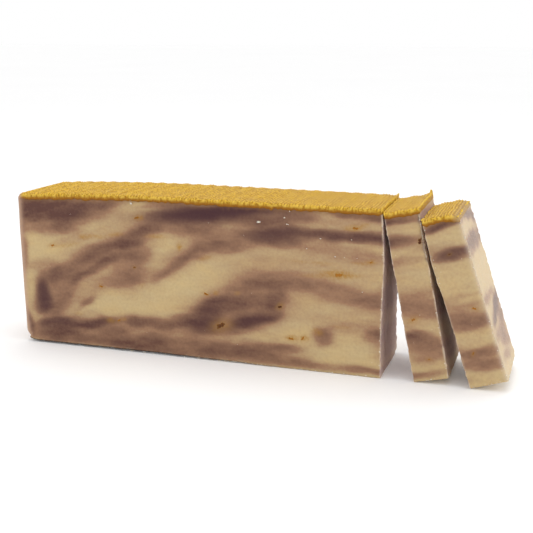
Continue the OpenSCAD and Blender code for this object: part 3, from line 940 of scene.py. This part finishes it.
def soap_material(colours):
    """Waxy swirled soap: cream, rosy tan, mauve and purple by the swirl field, mottled at two
    scales, with orange bled from petals, a chalky dried outer face that is partly painted light
    for the side lit from the right, dusty faces in the gaps, a pinkish skin on the moulded end,
    torn pale lips and a painted shadow line under the foot."""
    make = Recipe("swirled_soap")
    mauve, purple, stain = make.field("swirl")
    dry_and_lit, dusty, lip = make.field("edges")
    rim, cut, under_lip = make.field("rim")
    painted_foot_shadow = make.field("painted_foot_shadow")[0]
    mottle = make.noise(9, 4, (0.5, 1, 1.2))
    fine = make.noise(1.6, 3)
    grit = make.noise(0.55, 2)
    uneven = make.times(make.math("SUBTRACT", fine, 0.5), 0.22)
    wisps = make.math("SUBTRACT", make.noise(3.5, 5, (0.5, 0.8, 1.1)), 0.5)
    wisps = make.times(wisps, make.span(mauve, 0.0, 0.5, 0.08, 0.40))
    mauve = make.math("ADD", make.math("ADD", mauve, uneven), wisps, clamp=True)
    purple = make.math("ADD", purple, make.times(uneven, 0.5), clamp=True)
    colour = make.layered(
        make.mix(make.span(mottle, 0.35, 0.7), colours.cream, colours.warm_cream),
        (make.span(mauve, 0.0, 0.5), colours.rosy_tan),
        (make.span(mauve, 0.5, 1.0), colours.mauve),
        (purple, colours.purple),
        (make.times(stain, make.span(fine, 0.3, 0.6, 0.35, 1.0)), colours.petal_stain),
        (make.times(under_lip, 0.6), colours.under_lip),
        (make.times(rim, 0.8), colours.end_skin),
        (make.times(dusty, make.span(grit, 0.35, 0.68, 0.55, 1.0)), colours.dusty_soap),
        # chalky skin, partly painted light on the face lit from the right
        (make.times(dry_and_lit, make.span(grit, 0.3, 0.75, 0.18, 0.44)), colours.dry_soap),
        (make.times(lip, 0.6), colours.torn_soap),
        # painted shadow line under the foot
        (make.times(painted_foot_shadow, 0.95), colours.foot_shadow_paint))
    rough = make.math("ADD", make.span(fine, 0.2, 0.8, 0.42, 0.56), make.times(cut, 0.28))
    skin = make.math("ADD", make.times(make.noise(5, 2), 0.6),
                     make.times(grit, make.span(cut, 0, 1, 0.18, 1.0)))
    make.bump(skin, 0.35, 0.5)
    return make.finish(colour, rough, glow_through=0.10, specular=0.18)


def top_material(colours):
    """Combed mustard soap: ridges with tan patches, painted shade in the troughs between them, in
    the broad hollows and in the pits, and painted highlights on raised grains and on the beads of
    the lip; orange-brown along the hang of its lip, bright and crumbled along the cuts, worn on
    the outer slice's edge, and plain pinkish soap round the moulded end."""
    make = Recipe("mustard_soap")
    teeth, broad, bead = make.field("comb")
    lip, burr, rim = make.field("edges")
    fallen = make.field("worn")[0]
    grain = make.noise(0.75, 3)
    pits = make.noise(1.3, 2)
    patches = make.noise(12, 3)
    # painted shade: darker in the troughs between the ridges
    trough_shade = make.times(make.span(teeth, 0.25, 0.85), make.span(patches, 0.3, 0.65, 0.6, 1.0))
    tan = make.times(make.span(teeth, 0.6, 0.1), make.span(patches, 0.42, 0.62, 0.0, 0.6))
    colour = make.layered(
        make.mix(trough_shade, colours.mustard_ridge, colours.mustard_trough),
        (tan, colours.mustard_tan),
        # painted shade in the broad hollows of the comb and in the pits
        (make.times(broad, 0.16), colours.mustard_dark),
        (make.span(pits, 0.52, 0.38, 0.0, 0.8), colours.mustard_dark),
        # painted highlights on the raised grains and on the beads of the lip
        (make.span(grain, 0.55, 0.66, 0.0, 0.7), colours.mustard_bright),
        (make.span(bead, 0.5, 0.75, 0.0, 0.6), colours.mustard_bright),
        (make.times(lip, make.span(grain, 0.3, 0.6, 1.0, 1.5), clamp=True), colours.mustard_lip),
        (make.times(burr, 0.6, clamp=True), colours.mustard_bright),
        (make.times(fallen, make.span(grain, 0.3, 0.65, 0.55, 1.0)), colours.worn_top),
        (rim, colours.end_skin))
    make.bump(make.math("ADD", grain, pits), 0.7, 0.5)
    rough = make.span(grain, 0.3, 0.7, 0.46, 0.62)
    return make.finish(colour, rough, glow_through=0.05, specular=0.12)


def petal_material(colours):
    """Dried petals, from orange where they have bled out to dark brown, with a fine grain."""
    make = Recipe("petal")
    shade = make.field("shade")[0]
    grain = make.noise(0.8, 3)
    dark = make.math("ADD", shade, make.span(grain, 0.3, 0.7, -0.18, 0.18), clamp=True)
    make.bump(grain, 0.5, 0.2)
    return make.finish(make.mix(dark, colours.petal_light, colours.petal_dark), 0.6,
                       glow_through=0.1, specular=0.2)


def grainy_material(name, dark, light, size_mm, roughness):
    """A dull grainy finish between two colours."""
    make = Recipe(name)
    grain = make.noise(size_mm, 3)
    make.bump(grain, 0.5, 0.2)
    return make.finish(make.mix(make.span(grain, 0.35, 0.65), dark, light), roughness,
                       glow_through=0.1, specular=0.3)


# ---------- settings ----------

def size(name, description, default, low, high):
    """A length that a user may change, given here in millimetres and kept in metres."""
    return FloatProperty(name=name, description=description, default=default * MM, min=low * MM,
                         max=high * MM, unit="LENGTH", precision=5)


def in_millimetres(group):
    """The lengths of a group of settings, in millimetres."""
    return SimpleNamespace(**{name: getattr(group, name) / MM for name in group.__annotations__})


def paint(name, description, default):
    """A colour that a user may change."""
    return FloatVectorProperty(name=name, description=description, default=default, subtype="COLOR",
                               size=3, min=0, max=1)


class SoapSizes(bpy.types.PropertyGroup):
    """Details of the shapes."""
    end_edge_radius: size("End edge radius", "Radius of the moulded end's upright edges", 4.5, 1, 8)
    end_foot_radius: size("End foot radius", "Radius of the moulded end's foot", 8.5, 2, 12)
    rear_foot_radius: size("Rear foot radius", "Radius along the rear foot", 4.0, 1, 8)
    front_foot_radius: size("Front foot radius", "Rounding along the front foot", 1.2, 0.5, 3)
    foot_gap: size("Foot gap", "How far the front foot stands clear at the moulded end", 1.1, 0, 2)
    hand_waviness: size("Waviness", "Slow unevenness of the moulded faces", 0.35, 0, 1)
    cut_roughness: size("Cut roughness", "Roughness of a cut face", 0.30, 0, 1)
    cut_lip: size("Cut lip", "Height of the torn lips on the upright cut edges", 0.65, 0, 1.5)
    edge_tear: size("Edge tear", "Depth of the breaks high on slice 1's outer front edge", 1.5, 0, 3)
    comb_pitch: size("Comb pitch", "Distance between the comb's broad crests", 8.3, 5, 14)
    comb_depth: size("Comb depth", "Depth of the comb's broad hollows", 0.40, 0, 1.5)
    ridge_pitch: size("Ridge pitch", "Distance between the fine ridges of the teeth", 1.65, 0.8, 3)
    ridge_depth: size("Ridge depth", "Depth between the fine ridges", 0.55, 0, 0.8)
    top_crown: size("Top crown", "How far the comb's crests stand above the plain layer", 0.55, 0, 1)
    top_grain: size("Top grain", "Graininess of the combed top", 0.35, 0, 1)
    lip_bulge: size("Lip bulge", "How far the top layer's lip stands out of the face", 0.50, 0, 1.5)
    lip_hang: size("Lip hang", "How far the lip hangs down over the soap", 0.9, 0, 2)
    top_burr: size("Top burr", "Height of the crumbled burr on the top's cut edges", 0.75, 0, 1.5)
    flake_height: size("Flake height", "Height of the flake on slice 1's rear corner", 2.2, 0, 3)


class SoapColours(bpy.types.PropertyGroup):
    """Colours of the soap and of what is in it, and of the painted shade and highlights on it."""
    cream: paint("Cream", "Plain soap between the streaks", (0.545, 0.418, 0.222))
    warm_cream: paint("Warm cream", "Warmer patches of the plain soap", (0.580, 0.428, 0.208))
    rosy_tan: paint("Rosy tan", "Where cream turns to mauve", (0.325, 0.182, 0.105))
    mauve: paint("Mauve", "Mauve-brown streaks", (0.122, 0.054, 0.038))
    purple: paint("Purple", "Dark purple heart of the streaks", (0.062, 0.022, 0.026))
    petal_stain: paint("Petal stain", "Orange bled from the petals", (0.370, 0.185, 0.028))
    end_skin: paint("End skin", "Plain skin round the moulded end", (0.500, 0.325, 0.225))
    dusty_soap: paint("Dusty soap", "Cut faces that look into the gaps", (0.600, 0.455, 0.430))
    # partly chalky skin, partly painted light on the face lit from the right
    dry_soap: paint("Dry soap", "Chalky skin of the outermost cut face", (0.800, 0.700, 0.610))
    # painted shadow under the front foot at the moulded end
    foot_shadow_paint: paint("Underfoot", "Dark line under the foot at the moulded end", (0.020, 0.009, 0.006))
    torn_soap: paint("Torn soap", "Crumbled lips of the cuts", (0.640, 0.540, 0.390))
    speck: paint("Speck", "White crumbs", (0.80, 0.76, 0.68))
    mustard_ridge: paint("Mustard ridge", "Ridges of the combed top", (0.720, 0.450, 0.040))
    # painted shade in the troughs
    mustard_trough: paint("Mustard trough", "Troughs between the ridges", (0.350, 0.165, 0.010))
    mustard_tan: paint("Mustard tan", "Tan patches on the ridges", (0.660, 0.430, 0.110))
    # painted highlights on raised grains and beads, and the real colour of crumbled edges and crumbs
    mustard_bright: paint("Bright mustard", "Bright grains and crumbled edges", (0.820, 0.560, 0.090))
    # painted shade in the broad hollows and in the pits
    mustard_dark: paint("Dark mustard", "Pits in the top", (0.330, 0.150, 0.008))
    mustard_lip: paint("Mustard lip", "Lower edge of the top's lip", (0.300, 0.120, 0.010))
    under_lip: paint("Under the lip", "Stain in the soap under the top", (0.215, 0.105, 0.040))
    worn_top: paint("Worn top", "Crumbly fallen edge of the outer slice's top", (0.400, 0.260, 0.120))
    petal_dark: paint("Dark petal", "Dark petal flecks", (0.060, 0.016, 0.006))
    petal_light: paint("Light petal", "Orange petal flecks", (0.360, 0.140, 0.014))


# ---------- building steps ----------

def attach(piece, block, slot, *nodes):
    """Let a piece ride on its block's body in place of CAD nodes; the slot is not used."""
    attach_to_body(piece, block.name)
    if nodes:
        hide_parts(*nodes)


class SOAP_OT_soap(bpy.types.Operator):
    """Build the swirled soap of the loaf and of both slices"""
    bl_idname = "soap.soap"
    bl_label = "Swirled soap"

    def execute(self, context):
        material = soap_material(context.scene.soap_colours)
        sizes = in_millimetres(context.scene.soap_sizes)
        for block in BLOCKS:
            points, faces, fields = soap_mesh(block, sizes)
            piece = add_piece(f"{block.name}_swirled_soap", points, faces, material, fields)
            attach(piece, block, "swirled_soap", block.soap_node)
        return {"FINISHED"}


class SOAP_OT_top_layers(bpy.types.Operator):
    """Build the combed top layers"""
    bl_idname = "soap.top_layers"
    bl_label = "Combed top layers"

    def execute(self, context):
        material = top_material(context.scene.soap_colours)
        sizes = in_millimetres(context.scene.soap_sizes)
        for block in BLOCKS:
            points, faces, fields = top_mesh(block, sizes)
            piece = add_piece(f"{block.name}_combed_top", points, faces, material, fields)
            attach(piece, block, "top_soap", block.top_node)
        return {"FINISHED"}


class SOAP_OT_petals(bpy.types.Operator):
    """Set the petal flecks into the faces"""
    bl_idname = "soap.petals"
    bl_label = "Petal flecks"

    def execute(self, context):
        material = petal_material(context.scene.soap_colours)
        for block in BLOCKS:
            points, faces, fields = petal_mesh(block)
            piece = add_piece(f"{block.name}_petals", points, faces, material, fields, welded=True)
            attach(piece, block, "petal_fleck", block.petal_node)
        return {"FINISHED"}


class SOAP_OT_crumbs(bpy.types.Operator):
    """Scatter the crumbs that cutting left"""
    bl_idname = "soap.crumbs"
    bl_label = "Crumbs"

    def execute(self, context):
        colours = context.scene.soap_colours
        pale = grainy_material("pale_crumb", colours.torn_soap, colours.speck, 0.6, 0.7)
        ridge, bright = colours.mustard_ridge, colours.mustard_bright
        golden = grainy_material("mustard_crumb", ridge, bright, 0.6, 0.6)
        for block in BLOCKS:
            piece = add_piece(f"{block.name}_soap_crumbs", *soap_crumbs(block), pale)
            attach(piece, block, "swirled_soap")
            piece = add_piece(f"{block.name}_top_crumbs", *top_crumbs(block), golden)
            attach(piece, block, "top_soap")
        return {"FINISHED"}


class SOAP_OT_stage(bpy.types.Operator):
    """Set up the floor, the soft lights and the camera"""
    bl_idname = "soap.stage"
    bl_label = "Stage"

    def execute(self, context):
        build_floor()
        build_lights(context.scene)
        build_camera(context.scene)
        return {"FINISHED"}


FLOOR_SIDE = 16.0           # metres
FLOOR_GLOW = 0.05           # the floor's own light, which keeps it pale close to the soap
LAMP_AIM = (0.03, 0, 0.04)  # metres

# Soft lamps: (name, place in metres, side in metres, power in watts)
LAMPS = (("overhead", (0.05, 0.10, 0.9), 0.8, 2), ("right", (0.85, -0.15, 0.45), 0.5, 1))


def build_floor():
    """A wide pale floor just under the soap."""
    make = Recipe("pale_floor")
    tint = make.noise(400, 1)
    material = make.finish(make.mix(tint, (0.93, 0.93, 0.93), (0.95, 0.95, 0.95)), 0.9, specular=0.1)
    make.surface.inputs["Emission Color"].default_value = (1, 1, 1, 1)
    make.surface.inputs["Emission Strength"].default_value = FLOOR_GLOW
    half = FLOOR_SIDE / 2 / MM
    corners = np.array([(-half, -half, 0), (half, -half, 0), (half, half, 0), (-half, half, 0)])
    floor = add_piece("floor", corners, [(0, 1, 2, 3)], material)


def add_area_light(name, place, side, power):
    """A square soft light at a place, turned to the soap."""
    data = bpy.data.lights.new(name, "AREA")
    data.shape = "SQUARE"
    data.size = side
    data.energy = power
    light = bpy.data.objects.new(name, data)
    light.location = place
    light.rotation_euler = (Vector(LAMP_AIM) - Vector(place)).to_track_quat("-Z", "Y").to_euler()
    bpy.context.scene.collection.objects.link(light)


def build_lights(scene):
    """A light tent: a white world, a broad lamp overhead and a weak one from the right."""
    world = bpy.data.worlds.new("white_tent")
    world.use_nodes = True
    world.node_tree.nodes["Background"].inputs["Color"].default_value = (1, 1, 1, 1)
    world.node_tree.nodes["Background"].inputs["Strength"].default_value = 1.0
    scene.world = world
    for name, place, side, power in LAMPS:
        add_area_light(name, place, side, power)
    scene.view_settings.view_transform = "Standard"


LENS_OFFSET = (0.0969, -0.5065, 0.1900)     # metres, from the loaf's lower front cut corner
LENS_TURN = 17.80           # degrees to the left
LENS_DROP = 13.85           # degrees down
LENS_LENGTH = 66.45
SENSOR = 36.0


def build_camera(scene):
    """The camera at the reference view: in front of the cut end, turned left and tipped down."""
    data = bpy.data.cameras.new("camera")
    data.sensor_width = SENSOR
    data.lens = LENS_LENGTH
    data.clip_end = 20
    camera = bpy.data.objects.new("camera", data)
    corner = ((LOAF.foot_x + LOAF.outer_foot) * MM, -LOAF.depth / 2 * MM, 0)
    camera.location = [a + b for a, b in zip(corner, LENS_OFFSET)]
    camera.rotation_euler = (math.radians(90 - LENS_DROP), 0, math.radians(LENS_TURN))
    scene.collection.objects.link(camera)
    scene.camera = camera


STEPS = (SOAP_OT_soap, SOAP_OT_top_layers, SOAP_OT_petals, SOAP_OT_crumbs, SOAP_OT_stage)


class SOAP_PT_steps(bpy.types.Panel):
    """The building steps and the settings"""
    bl_label = "Swirled soap loaf"
    bl_idname = "SOAP_PT_steps"
    bl_space_type = "VIEW_3D"
    bl_region_type = "UI"
    bl_category = "Soap"

    def draw(self, context):
        for step in STEPS:
            self.layout.operator(step.bl_idname)
        for group in (context.scene.soap_sizes, context.scene.soap_colours):
            column = self.layout.column()
            for name in group.__annotations__:
                column.prop(group, name)


CLASSES = (SoapSizes, SoapColours, *STEPS, SOAP_PT_steps)


def register():
    for cls in CLASSES:
        bpy.utils.register_class(cls)
    bpy.types.Scene.soap_sizes = PointerProperty(type=SoapSizes)
    bpy.types.Scene.soap_colours = PointerProperty(type=SoapColours)


def unregister():
    del bpy.types.Scene.soap_colours
    del bpy.types.Scene.soap_sizes
    for cls in reversed(CLASSES):
        bpy.utils.unregister_class(cls)


def main():
    """Build everything."""
    register()
    bpy.ops.soap.soap()
    bpy.ops.soap.top_layers()
    bpy.ops.soap.petals()
    bpy.ops.soap.crumbs()
    bpy.ops.soap.stage()


if __name__ == "__main__":
    main()
